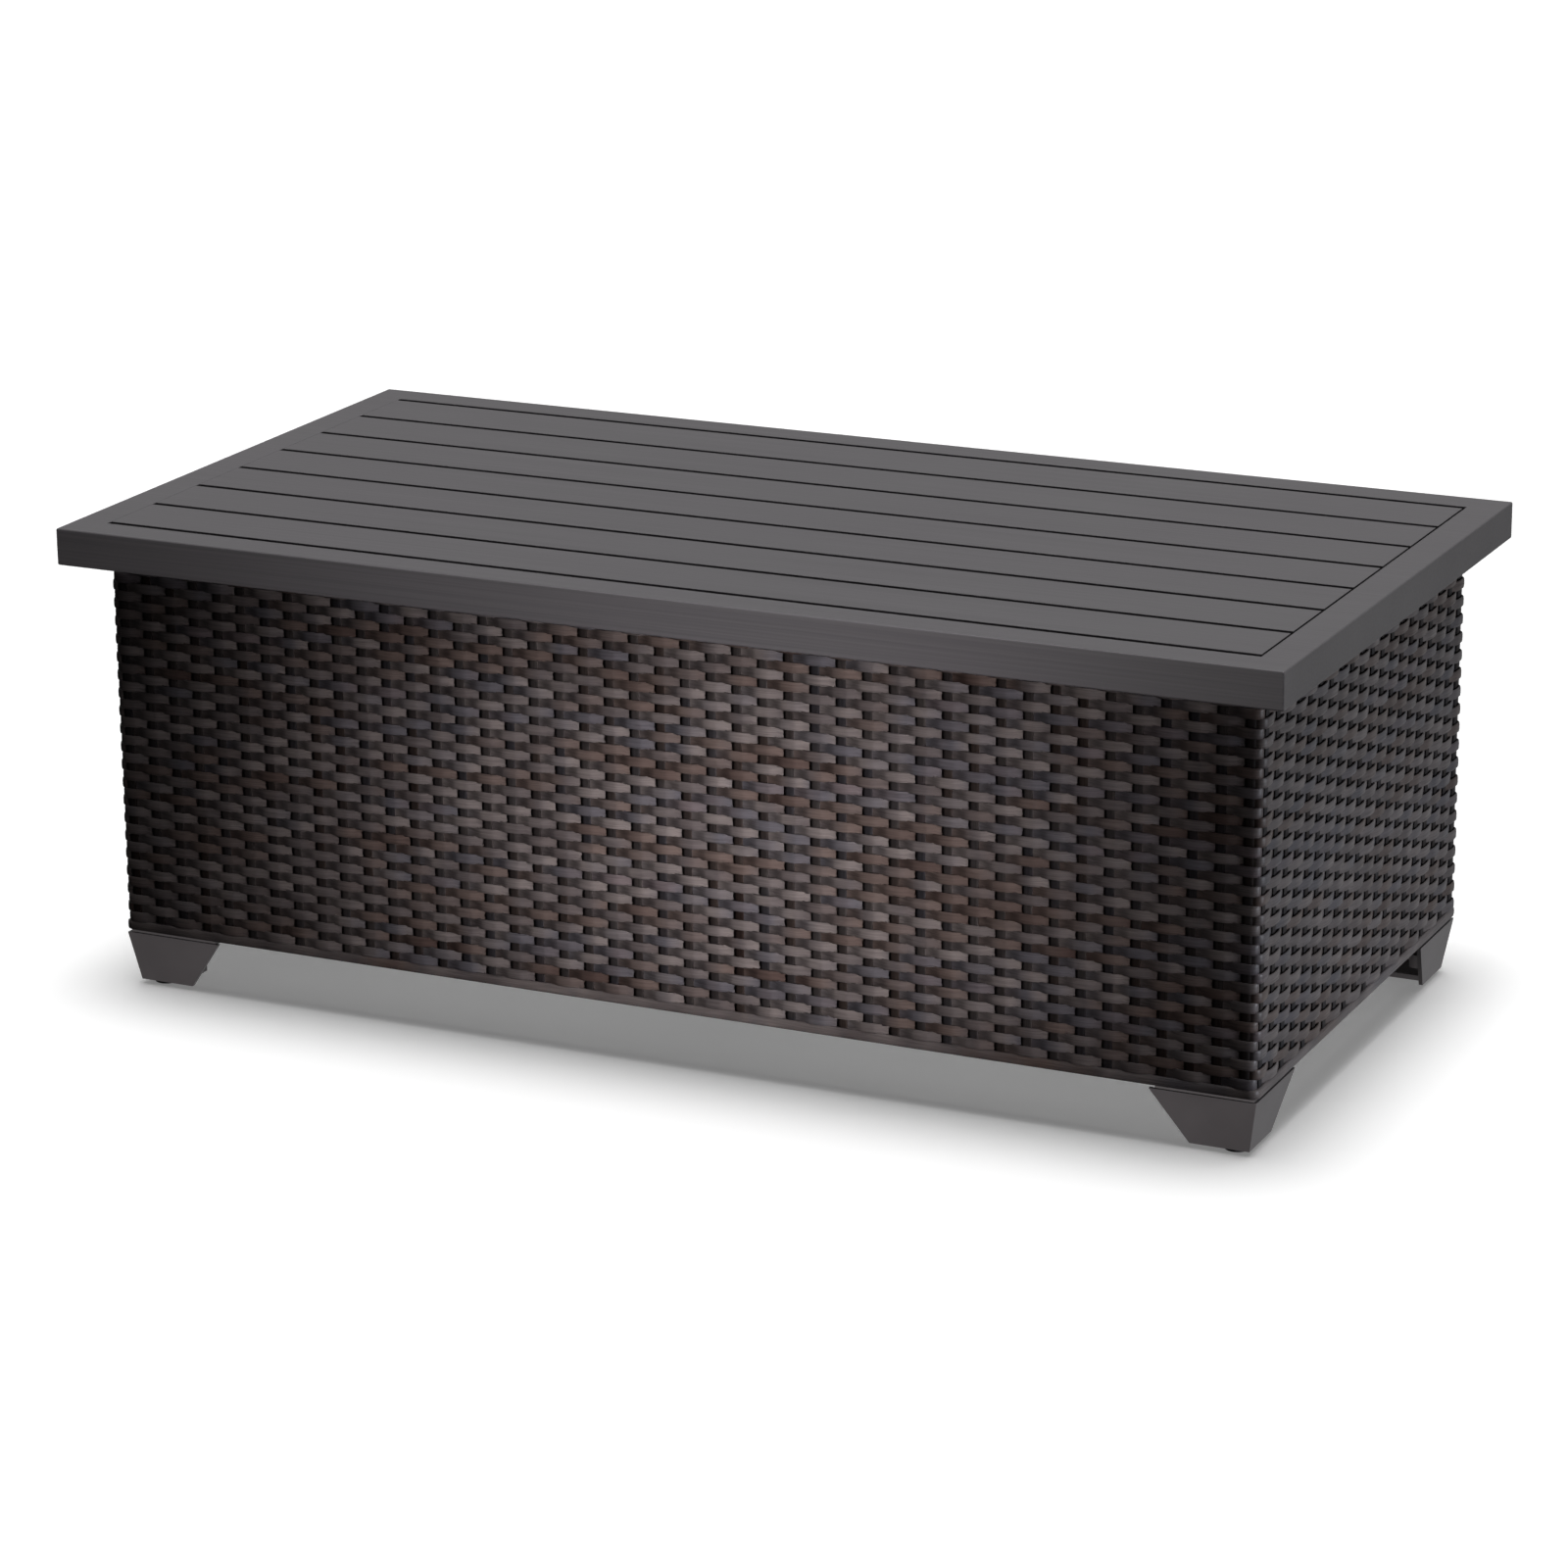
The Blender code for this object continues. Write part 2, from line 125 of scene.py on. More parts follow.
# ---------------------------------------------------------------- meshes


def add_piece(name, mesh, finish, body=ROOT, replaces=()):
    """Shows a mesh as a piece that rides on a CAD body."""
    mesh.materials.clear()
    mesh.materials.append(finish)
    piece = bpy.data.objects.new(name, mesh)
    bpy.context.scene.collection.objects.link(piece)
    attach(piece, body)
    if replaces:
        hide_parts(*replaces)
    return piece


def mesh_from_arrays(name, points, quads):
    mesh = bpy.data.meshes.new(name)
    mesh.from_pydata(points.tolist(), [], quads.tolist())
    mesh.update()
    return mesh


def mesh_from_bmesh(bm, name):
    bmesh.ops.recalc_face_normals(bm, faces=bm.faces)
    mesh = bpy.data.meshes.new(name)
    bm.to_mesh(mesh)
    bm.free()
    return mesh


def smooth(mesh, angle):
    mesh.shade_smooth()
    mesh.set_sharp_from_angle(angle=math.radians(angle))
    return mesh


def applied(obj, name):
    """The mesh of an object with its modifiers, and the object is gone."""
    graph = bpy.context.evaluated_depsgraph_get()
    mesh = bpy.data.meshes.new_from_object(obj.evaluated_get(graph))
    mesh.name = name
    bpy.data.objects.remove(obj)
    return mesh


def flat_normals(mesh, name):
    """Keeps big faces flat where they meet small rounded edges."""
    holder = bpy.data.objects.new(name, mesh)
    bpy.context.scene.collection.objects.link(holder)
    weighted = holder.modifiers.new("weighted", "WEIGHTED_NORMAL")
    weighted.mode = "FACE_AREA"
    weighted.weight = 100
    weighted.keep_sharp = True
    return applied(holder, name)


def ring_quads(rings, count, closed):
    """Quads between neighbouring rings of count points, and end caps where the line is open."""
    ring = np.arange(rings if closed else rings - 1)[:, None]
    step = np.arange(count)[None, :]
    ahead = (ring + 1) % rings
    beside = (step + 1) % count
    corners = (
        ring * count + step,
        ahead * count + step,
        ahead * count + beside,
        ring * count + beside,
    )
    quads = [np.stack(corners, -1).reshape(-1, 4)]
    if not closed:
        i = np.arange(count // 2 - 1)
        cap = np.stack((i, i + 1, count - 2 - i, count - 1 - i), -1)
        quads += [cap, cap[:, ::-1] + (rings - 1) * count]
    return np.concatenate(quads)


class Strips:
    """Strips swept along lines, gathered in one mesh. Each point knows its strip's own measures."""

    def __init__(self):
        self.points, self.quads, self.marks = [], [], []
        self.total = 0

    def sweep(self, centres, outs, sides, profile, along, number, widths=1.0, closed=False):
        """profile holds (sideways, outward) pairs, an even number of them. widths scales it
        sideways at each ring."""
        profile = np.array(profile)
        widths = np.broadcast_to(widths, len(centres))[:, None, None]
        across = sides[:, None, :] * profile[None, :, :1] * widths
        points = centres[:, None, :] + across + outs[:, None, :] * profile[None, :, 1:]
        rings, count = points.shape[:2]
        widest = np.abs(profile[:, 0]).max()
        marks = np.empty((rings, count, 3))
        marks[..., 0] = along[:, None]
        marks[..., 1] = profile[None, :, 0] / widest
        marks[..., 2] = number
        self.points.append(points.reshape(-1, 3))
        self.marks.append(marks.reshape(-1, 3))
        self.quads.append(ring_quads(rings, count, closed) + self.total)
        self.total += rings * count

    def mesh(self, name):
        mesh = mesh_from_arrays(name, np.concatenate(self.points), np.concatenate(self.quads))
        marks = mesh.attributes.new("strand", "FLOAT_VECTOR", "POINT")
        marks.data.foreach_set("vector", np.concatenate(self.marks).astype(np.float32).ravel())
        mesh.shade_smooth()
        return mesh


# ---------------------------------------------------------------- weave


def strand_profile(width, dome, back):
    """Outline of a flat strand with a domed face: (sideways, outward) pairs."""
    half = width / 2
    crown = 0.42 * half
    shoulder, shoulder_height = 0.86 * half, 0.66 * dome
    edge_height = -0.1 * dome
    foot = 0.8 * half
    return (
        (-half, edge_height),
        (-shoulder, shoulder_height),
        (-crown, dome),
        (crown, dome),
        (shoulder, shoulder_height),
        (half, edge_height),
        (foot, -back),
        (-foot, -back),
    )


class Loop:
    """The plan line that the wefts follow round the box, counted in stakes from the front left.

    number, place, out and along hold one entry for each ring of a weft's once round the box.
    """

    def __init__(self, half_length, half_depth):
        self.inset = SWING + STRAND_DOME
        sides = (
            ((1, 0), half_length, half_depth, LONG_STAKES),
            ((0, 1), half_depth, half_length, END_STAKES),
            ((-1, 0), half_length, half_depth, LONG_STAKES),
            ((0, -1), half_depth, half_length, END_STAKES),
        )
        self.first_stakes = [0]
        number, place, out = [], [], []
        for direction, half, reach, stakes in sides:
            first = self.first_stakes[-1]
            run = np.array(direction, float)
            normal = np.array((run[1], -run[0]))
            start = CORNER_TO_STAKE - half
            pitch = -2 * start / (stakes - 1)
            line = reach - self.inset
            for stake in range(stakes - 1):
                for step in STEPS:
                    number.append(first + stake + step)
                    place.append(run * (start + (stake + step) * pitch) + normal * line)
                    out.append(normal)
            for step in CORNER_STEPS:
                corner_place, corner_out = self.corner(run, normal, -start, half, line, step)
                number.append(first + stakes - 1 + step)
                place.append(corner_place)
                out.append(corner_out)
            self.first_stakes.append(first + stakes)
        self.number = np.array(number)
        self.place = np.array(place)
        self.out = np.array(out)
        lengths = np.linalg.norm(np.roll(self.place, -1, 0) - self.place, axis=1)
        self.along = np.concatenate(([0.0], np.cumsum(lengths)[:-1]))
        self.length = lengths.sum()
        self.stakes = self.first_stakes[-1]

    def corner(self, run, normal, stake, half, line, step):
        """A place a share of the way from a side's last stake, round the corner, to the next."""
        straight = half - self.inset - CORNER_RADIUS - stake
        arc = CORNER_RADIUS * math.pi / 2
        distance = step * (2 * straight + arc)
        if distance < straight:
            return run * (stake + distance) + normal * line, normal
        centre = run * (stake + straight) + normal * (line - CORNER_RADIUS)
        turn = min((distance - straight) / CORNER_RADIUS, math.pi / 2)
        out = normal * math.cos(turn) + run * math.sin(turn)
        past = max(distance - straight - arc, 0)
        return centre + out * CORNER_RADIUS - normal * past, out

    def between(self, start, end):
        """Ring numbers from one stake to another, which may lie beyond the loop's ends."""
        rings = len(self.number)
        numbers = np.concatenate([self.number + turn * self.stakes for turn in (-1, 0, 1)])
        chosen = np.nonzero((numbers >= start - 1e-6) & (numbers <= end + 1e-6))[0]
        return chosen % rings, numbers[chosen], (chosen // rings - 1) * self.length

    def stake_places(self, first, last):
        """The place, outward direction and number of each stake from first up to last."""
        whole = np.nonzero(np.isclose(self.number % 1, 0))[0]
        return [(self.place[i], self.out[i], number) for number, i in enumerate(whole)][first:last]


def swing(number, row, sizes):
    """How far out each ring of a weft lies. It passes over every other stake, and row by row
    the stakes swap. sizes is the swing at each stake, as a share of SWING."""
    wave = np.sin(np.cos(np.pi * (number + row)) * np.pi / 2)
    wave = np.where(wave < 0, -np.abs(wave) ** TROUGH, wave)
    turns = np.arange(-len(sizes), 2 * len(sizes))
    return SWING * wave * np.interp(number, turns, np.tile(sizes, 3))


def behind(stake, row):
    """Whether this row's weft passes behind the stake."""
    return (stake + row) % 2 == 1


def weave_sides(box_low, box_high, weft_finish, painted_shade_finish):
    half_length, half_depth = box_high.x, box_high.y
    loop = Loop(half_length, half_depth)
    base = box_low.z + BORDER_HEIGHT
    rows = int((box_high.z - base) / ROW_PITCH)
    random = np.random.default_rng(SEED)
    sizes = 1 + SWING_SPREAD * random.uniform(-1, 1, (rows, loop.stakes))
    wander = ROW_WANDER * random.uniform(-1, 1, (rows, loop.stakes))
    for side, name in enumerate(("front", "right", "back", "left")):
        first, after = loop.first_stakes[side], loop.first_stakes[side + 1]
        wefts = Strips()
        for row in range(rows):
            # A strand is joined behind a stake, so that no joint shows from outside.
            start = first if behind(first, row) else first - 1
            end = after if behind(after, row) else after - 1
            height = base + (row + 0.5) * ROW_PITCH
            add_weft(wefts, loop, row, start, end, height, sizes[row], wander[row])
        piece = add_piece(
            f"weave_{name}_wefts", wefts.mesh("wefts"), weft_finish,
            replaces=(f"weave_{name}",),
        )
        piece.data.name = piece.name
        stakes = Strips()
        for place, out, number in loop.stake_places(first, after):
            add_stake(stakes, place, out, number, base, rows)
        add_piece(f"weave_{name}_stakes", stakes.mesh("stakes"), painted_shade_finish)
    top = base + rows * ROW_PITCH
    add_border("weave_bottom_border", loop, box_low.z, base, weft_finish)
    # The top border takes the dark stake resin: painted shadow from the top's overhang.
    add_border("weave_top_border", loop, top, box_high.z, painted_shade_finish)


def add_weft(strips, loop, row, start, end, height, sizes, wander):
    rings, number, turn = loop.between(start, end)
    outs = np.column_stack((loop.out[rings], np.zeros(len(rings))))
    lie = swing(number, row, sizes)
    rise = np.interp(number % loop.stakes, np.arange(loop.stakes), wander)
    centres = np.column_stack((loop.place[rings], height + rise)) + outs * lie[:, None]
    ups = np.tile((0.0, 0.0, 1.0), (len(rings), 1))
    profile = strand_profile(STRAND_WIDTH, STRAND_DOME, STRAND_BACK)
    widths = 1 + STRAND_SPREAD / STRAND_WIDTH * np.clip(-2 * lie / SWING, 0, 1)
    strips.sweep(centres, outs, ups, profile, loop.along[rings] + turn, row, widths)


def add_stake(strips, place, out, number, base, rows):
    """An upright stake, pressed in a little by each weft that passes over it."""
    row = np.arange(rows)
    push = np.where(behind(number, row), STAKE_PUSH, -STAKE_PUSH)
    heights = base + (row + 0.5) * ROW_PITCH
    heights = np.concatenate(([base - ROW_PITCH / 2], heights, [base + rows * ROW_PITCH]))
    push = np.concatenate(([0.0], push, [0.0]))
    out = np.array((*out, 0.0))
    lie = (push - STAKE_DEPTH)[:, None] * out
    centres = np.column_stack((np.tile(place, (rows + 2, 1)), heights)) + lie
    outs = np.tile(out, (rows + 2, 1))
    sides = np.tile(np.cross(out, (0.0, 0.0, 1.0)), (rows + 2, 1))
    profile = strand_profile(STAKE_WIDTH, STAKE_DOME, STAKE_DOME)
    strips.sweep(centres, outs, sides, profile, heights, STAKE_MARK + number)


def add_border(name, loop, low, high, finish):
    """A smooth strand laid flat round the box where the weave ends."""
    rings = len(loop.number)
    half = (high - low) / 2
    round_over = min(half, BORDER_THICKNESS) * 0.45
    shoulder = 0.8 * half
    crown, crown_height = 0.3 * half, 0.12 * BORDER_THICKNESS
    profile = (
        (-half, -BORDER_THICKNESS),
        (-half, -round_over),
        (-shoulder, 0),
        (-crown, crown_height),
        (crown, crown_height),
        (shoulder, 0),
        (half, -round_over),
        (half, -BORDER_THICKNESS),
    )
    outs = np.column_stack((loop.out, np.zeros(rings)))
    face = loop.inset - BORDER_INSET
    centres = np.column_stack((loop.place, np.full(rings, (low + high) / 2))) + outs * face
    ups = np.tile((0.0, 0.0, 1.0), (rings, 1))
    strips = Strips()
    strips.sweep(centres, outs, ups, profile, loop.along, BORDER_MARK, closed=True)
    add_piece(name, strips.mesh(name), finish)


# ---------------------------------------------------------------- metal top


def rounded_outline(width, height, radii, steps):
    """A rectangle's outline from (0, 0) to (width, height), anticlockwise from its far top corner.
    radii are those of its far top, near top, near bottom and far bottom corners."""
    points = []
    corners = ((1, 1), (0, 1), (0, 0), (1, 0))
    for corner, ((x, z), radius) in enumerate(zip(corners, radii)):
        centre = (radius + x * (width - 2 * radius), radius + z * (height - 2 * radius))
        for step in range(steps + 1):
            angle = math.radians(90) * (corner + step / steps)
            points.append(
                (centre[0] + radius * math.cos(angle), centre[1] + radius * math.sin(angle))
            )
    return points


def rounded_loop(half_x, half_y, radius, steps):
    """Points round a rectangle with rounded corners, anticlockwise from above."""
    points = []
    for corner, (sx, sy) in enumerate(((1, 1), (-1, 1), (-1, -1), (1, -1))):
        for step in range(steps + 1):
            angle = math.radians(90) * (corner + step / steps)
            points.append(
                (
                    sx * (half_x - radius) + radius * math.cos(angle),
                    sy * (half_y - radius) + radius * math.sin(angle),
                )
            )
    return points


def rim_mesh(half_x, half_y, end_width, long_width, low, high):
    """The top's frame as one welded and ground ring of tube, with no mitre lines."""
    loops = []
    radii = (INNER_EDGE, OUTER_EDGE, OUTER_EDGE, INNER_EDGE)
    for inset, height in rounded_outline(long_width, high - low, radii, ARC_STEPS):
        inset_x = inset * end_width / long_width
        radius = max(RIM_CORNER - inset / 2, RIM_CORNER / 4)
        plan = rounded_loop(half_x - inset_x, half_y - inset, radius, ARC_STEPS)
        loops.append([(x, y, low + height) for x, y in plan])
    points = np.array(loops)
    quads = ring_quads(points.shape[0], points.shape[1], closed=True)
    mesh = mesh_from_arrays("top_rim", points.reshape(-1, 3), quads[:, ::-1])
    return flat_normals(smooth(mesh, METAL_SHARP), "top_rim")


def slat_mesh(name, low, high):
    """A slat with rounded long edges, closed at its ends, which stand inside the rim."""
    outline = rounded_outline(high.y - low.y, high.z - low.z, (SLAT_EDGE,) * 4, ARC_STEPS)
    count = len(outline)
    points = np.array([(x, low.y + y, low.z + z) for x in (low.x, high.x) for y, z in outline])
    quads = ring_quads(2, count, closed=False)
    mesh = mesh_from_arrays(name, points, quads)
    return flat_normals(smooth(mesh, METAL_SHARP), name)


def build_top(finish):
    low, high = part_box("top_rail_front")
    end_low, end_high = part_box("top_rail_right")
    rails = [f"top_rail_{side}" for side in ("front", "back", "left", "right")]
    rim = rim_mesh(
        end_high.x, -low.y, end_high.x - end_low.x, high.y - low.y, low.z, high.z
    )
    rim = add_piece("top_rim", rim, finish, replaces=rails)
    slats = []
    for node in sorted(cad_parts):
        if node.startswith("slat_"):
            mesh = slat_mesh(node + "_face", *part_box(node))
            slats.append(
                add_piece(node + "_face", mesh, finish, replaces=(node,))
            )
    return rim, slats


# ---------------------------------------------------------------- feet and glides


def foot_mesh(node, name):
    """The CAD foot with its cast edges rounded."""
    bm = bmesh.new()
    bm.from_mesh(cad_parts[node].data)
    bmesh.ops.remove_doubles(bm, verts=bm.verts, dist=0.001 * MM)
    flat = math.radians(1)
    bmesh.ops.dissolve_limit(bm, angle_limit=flat, verts=bm.verts, edges=bm.edges)
    holder = bpy.data.objects.new(name, mesh_from_bmesh(bm, name))
    bpy.context.scene.collection.objects.link(holder)
    bevel = holder.modifiers.new("cast_edges", "BEVEL")
    bevel.width = FOOT_EDGE
    bevel.segments = 3
    bevel.limit_method = "ANGLE"
    bevel.angle_limit = math.radians(METAL_SHARP)
    return flat_normals(smooth(applied(holder, name), METAL_SHARP), name)


def turned(name, profile, segments, centre):
    """A profile of (radius, height) pairs, from axis to axis, turned round an upright line."""
    bm = bmesh.new()
    points = [bm.verts.new((radius, 0, height)) for radius, height in profile]
    edges = [bm.edges.new(pair) for pair in zip(points, points[1:])]
    bmesh.ops.spin(
        bm, geom=points + edges, angle=math.radians(360), steps=segments, axis=(0, 0, 1),
        cent=(0, 0, 0), use_merge=True,
    )
    bmesh.ops.remove_doubles(bm, verts=bm.verts, dist=0.001 * MM)
    bmesh.ops.translate(bm, verts=bm.verts, vec=centre)
    return smooth(mesh_from_bmesh(bm, name), PAD_SHARP)


def pad_mesh(name, low, high):
    """A moulded pad: rounded rims, a ring of grip under it and a collar round the stud."""
    radius = (high.x - low.x) / 2
    height = high.z - low.z
    pocket = STUD_RADIUS + STUD_PLAY
    flat, slope_end = PAD_MIDDLE
    profile = [(0, PAD_DISH), (flat * radius, PAD_DISH), (slope_end * radius, 0)]
    for ring in PAD_RINGS:
        profile += [
            ((ring - PAD_RING_SLOPE) * radius, 0),
            (ring * radius, PAD_DISH),
            ((ring + PAD_RING_SLOPE) * radius, PAD_DISH),
            ((ring + 2 * PAD_RING_SLOPE) * radius, 0),
        ]
    for centre_height, start in ((PAD_EDGE, -90), (height - PAD_EDGE, 0)):
        for step in range(ARC_STEPS + 1):
            angle = math.radians(start + 90 * step / ARC_STEPS)
            profile.append(
                (
                    radius - PAD_EDGE + PAD_EDGE * math.cos(angle),
                    centre_height + PAD_EDGE * math.sin(angle),
                )
            )
    profile += [(pocket, height), (pocket, PAD_FLOOR), (0, PAD_FLOOR)]
    middle = (low + high) / 2
    return turned(name, profile, PAD_SEGMENTS, (middle.x, middle.y, low.z))


def stud_mesh(name, low, high):
    """A threaded stud. Its thread is one helical ridge that fades out into a chamfer."""
    radius = (high.x - low.x) / 2
    length = high.z - low.z
    rings = round(length / THREAD_PITCH * THREAD_RINGS)
    turns = np.arange(THREAD_SIDES) / THREAD_SIDES
    heights = np.linspace(0, length, rings + 1)
    phase = (heights[:, None] / THREAD_PITCH - turns[None, :]) % 1
    ridge = np.clip(THREAD_FLANK * np.abs(phase - 0.5) - THREAD_ROOT, 0, 1)
    end = np.minimum(heights, length - heights)[:, None]
    radii = np.minimum(radius - THREAD_DEPTH * (1 - ridge), radius - THREAD_DEPTH + end)
    angles = turns * math.tau
    points = np.empty((rings + 1, THREAD_SIDES, 3))
    points[..., 0] = (low.x + high.x) / 2 + radii * np.cos(angles)
    points[..., 1] = (low.y + high.y) / 2 + radii * np.sin(angles)
    points[..., 2] = low.z + heights[:, None]
    quads = ring_quads(rings + 1, THREAD_SIDES, closed=False)
    mesh = mesh_from_arrays(name, points.reshape(-1, 3), quads[:, ::-1])
    return smooth(mesh, THREAD_SHARP)


def build_feet(foot_finish, pad_finish, stud_finish):
    """Returns the four feet, without their glides."""
    feet = []
    for corner in CORNERS:
        body = "glide_" + corner
        foot, pad, stud = "foot_" + corner, "glide_pad_" + corner, "glide_stud_" + corner
        cast = foot_mesh(foot, "cast_" + foot)
        feet.append(
            add_piece("cast_" + foot, cast, foot_finish, replaces=(foot,))
        )
        moulded = pad_mesh("moulded_" + pad, *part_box(pad))
        add_piece("moulded_" + pad, moulded, pad_finish, body, (pad,))
        threaded = stud_mesh("threaded_" + stud, *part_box(stud))
        add_piece("threaded_" + stud, threaded, stud_finish, body, (stud,))
    return feet


# ---------------------------------------------------------------- materials

# How fast a strand's noise changes: along it to the metre, across it, and from strip to strip
TONE_ALONG = 5.0
TONE_STEP = 3.7
GROOVES_ALONG = 30.0
GROOVES_ACROSS = 5.0
GROOVES_STEP = 9.1

# Tones of resin along its noise
STRAND_TONES = (
    (0.30, (0.050, 0.033, 0.029)),
    (0.40, (0.086, 0.064, 0.057)),
    (0.47, (0.072, 0.061, 0.061)),
    (0.53, (0.120, 0.102, 0.098)),
    (0.60, (0.066, 0.062, 0.070)),
    (0.70, (0.096, 0.077, 0.079)),
)


class Finish:
    """A node material round one Principled shader, whose constants sit on its own sockets."""

    def __init__(self, name, constants):
        self.material = bpy.data.materials.new(name)
        self.material.use_nodes = True
        tree = self.material.node_tree
        self.nodes, self.links = tree.nodes, tree.links
        self.shader = self.nodes["Principled BSDF"]
        for socket, value in constants.items():
            self.shader.inputs[socket].default_value = value

    def put(self, socket, value):
        if isinstance(value, bpy.types.NodeSocket):
            self.links.new(value, socket)
        else:
            socket.default_value = value

    def node(self, kind, inputs, **settings):
        made = self.nodes.new("ShaderNode" + kind)
        for key, value in settings.items():
            setattr(made, key, value)
        for key, value in inputs.items():
            self.put(made.inputs[key], value)
        return made

    def object_place(self, stretch=(1, 1, 1)):
        place = self.node("TexCoord", {}).outputs["Object"]
        return self.node("Mapping", {"Vector": place, "Scale": stretch}).outputs[0]

    def noise(self, vector, scale, detail=2.0):
        return self.node("TexNoise", {"Vector": vector, "Scale": scale, "Detail": detail}).outputs[0]

    def between(self, value, low, high, spread=(0.3, 0.7)):
        """value from spread's range, taken to low..high."""
        inputs = {"Value": value, "From Min": spread[0], "From Max": spread[1]}
        return self.node("MapRange", {**inputs, "To Min": low, "To Max": high}).outputs[0]

    def math(self, operation, first, second):
        return self.node("Math", {0: first, 1: second}, operation=operation).outputs[0]

    def mix(self, share, first, second, blend="MIX"):
        inputs = {0: share, 6: first, 7: second}
        return self.node("Mix", inputs, data_type="RGBA", blend_type=blend).outputs[2]

    def ramp(self, value, stops):
        made = self.node("ValToRGB", {0: value})
        elements = made.color_ramp.elements
        while len(elements) < len(stops):
            elements.new(0.5)
        for element, (position, colour) in zip(elements, stops):
            element.position = position
            element.color = (*colour, 1.0)
        return made.outputs[0]

    def bump(self, height, strength, distance):
        inputs = {"Height": height, "Strength": strength, "Distance": distance}
        self.put(self.shader.inputs["Normal"], self.node("Bump", inputs).outputs[0])


def shade(colour, share):
    return (*(channel * share for channel in colour), 1.0)


def powder_coat(name, colour, roughness, stretch):
    """Baked powder paint: fine orange peel, faint streaks along the metal, clouded gloss."""
    finish = Finish(name, {"Specular IOR Level": 0.5})
    streaks = finish.noise(finish.object_place(stretch), 1.0, 3.0)
    clouds = finish.noise(finish.object_place(), 5.0, 3.0)
    peel = finish.noise(finish.object_place(), 700.0)
    streaked = finish.mix(
        finish.between(streaks, 0.0, 1.0), shade(colour, 0.86), shade(colour, 1.14)
    )
    clouded = finish.mix(
        finish.between(clouds, 0.0, 1.0), shade((0.94,) * 3, 1.0), shade((1.05, 1.04, 1.05), 1.0)
    )
    finish.put(finish.shader.inputs["Base Color"], finish.mix(1.0, streaked, clouded, "MULTIPLY"))
    gloss = finish.between(clouds, roughness - 0.05, roughness + 0.06)
    finish.put(finish.shader.inputs["Roughness"], gloss)
    finish.bump(peel, 0.12, 0.2 * MM)
    return finish.material


def resin(name, tones, brightness, roughness, specular):
    """Extruded resin strand: its tone drifts along the strand, with fine lengthwise grooves."""
    finish = Finish(name, {"Specular IOR Level": specular})
    marks = finish.node("Attribute", {}, attribute_name="strand").outputs["Vector"]
    parts = finish.node("SeparateXYZ", {0: marks}).outputs
    along, across, number = parts[0], parts[1], parts[2]
    drift = finish.node(
        "CombineXYZ",
        {
            0: finish.math("MULTIPLY", along, TONE_ALONG),
            1: finish.math("MULTIPLY", number, TONE_STEP),
        },
    ).outputs[0]
    tone = finish.ramp(finish.noise(drift, 1.0, 3.0), tones)
    lines = finish.node(
        "CombineXYZ",
        {
            0: finish.math("MULTIPLY", along, GROOVES_ALONG),
            1: finish.math("MULTIPLY", across, GROOVES_ACROSS),
            2: finish.math("MULTIPLY", number, GROOVES_STEP),
        },
    ).outputs[0]
    grooves = finish.noise(lines, 1.0, 3.0)
    grooved = finish.between(grooves, 0.72 * brightness, 1.28 * brightness)
    grey = finish.node("CombineColor", {0: grooved, 1: grooved, 2: grooved}).outputs[0]
    finish.put(finish.shader.inputs["Base Color"], finish.mix(1.0, tone, grey, "MULTIPLY"))
    gloss = finish.between(grooves, roughness + 0.08, roughness - 0.06)
    finish.put(finish.shader.inputs["Roughness"], gloss)
    finish.bump(grooves, 0.5, 0.25 * MM)
    return finish.material


def zinc_steel(name):
    """Zinc plate: mottled, with a little tarnish."""
    finish = Finish(name, {"Metallic": 1.0})
    mottle = finish.noise(finish.object_place(), 260.0, 4.0)
    stops = ((0.35, (0.30, 0.29, 0.26)), (0.5, (0.50, 0.50, 0.49)), (0.66, (0.62, 0.63, 0.65)))
    finish.put(finish.shader.inputs["Base Color"], finish.ramp(mottle, stops))
    finish.put(finish.shader.inputs["Roughness"], finish.between(mottle, 0.42, 0.26))
    finish.bump(finish.noise(finish.object_place(), 900.0), 0.1, 0.1 * MM)
    return finish.material


def nylon(name):
    """Moulded black nylon: matt, finely pitted, scuffed paler in places."""
    finish = Finish(name, {"Specular IOR Level": 0.4})
    scuffs = finish.noise(finish.object_place(), 180.0, 4.0)
    stops = ((0.4, (0.010, 0.010, 0.011)), (0.7, (0.034, 0.033, 0.032)))
    finish.put(finish.shader.inputs["Base Color"], finish.ramp(scuffs, stops))
    finish.put(finish.shader.inputs["Roughness"], finish.between(scuffs, 0.48, 0.66))
    finish.bump(finish.noise(finish.object_place(), 1500.0), 0.25, 0.1 * MM)
    return finish.material


def plain_ground(name, colour, glow):
    """Matt ground with a faint glow of its own, which keeps the shadow under the table grey."""
    finish = Finish(name, {"Roughness": 0.9, "Specular IOR Level": 0.1, "Emission Strength": glow})
    clouds = finish.noise(finish.object_place(), 0.8)
    tone = finish.mix(clouds, shade(colour, 0.99), shade(colour, 1.0))
    finish.put(finish.shader.inputs["Base Color"], tone)
    finish.put(finish.shader.inputs["Emission Color"], tone)
    return finish.material


# ---------------------------------------------------------------- studio


class Softbox(NamedTuple):
    name: str
    place: tuple
    target: tuple
    size: tuple
    watts: float
    colour: tuple
    spread: float  # of its beam, in degrees
    glossy: bool  # whether glossy faces show it
    lights: str


# The dome of light: its strength all round, overhead and behind the table
SKY_EVEN = 0.018
SKY_OVERHEAD = 28.5
SKY_BEHIND = 0.5
OVERHEAD_FOCUS = 60.0  # the higher, the closer the overhead light keeps to straight above

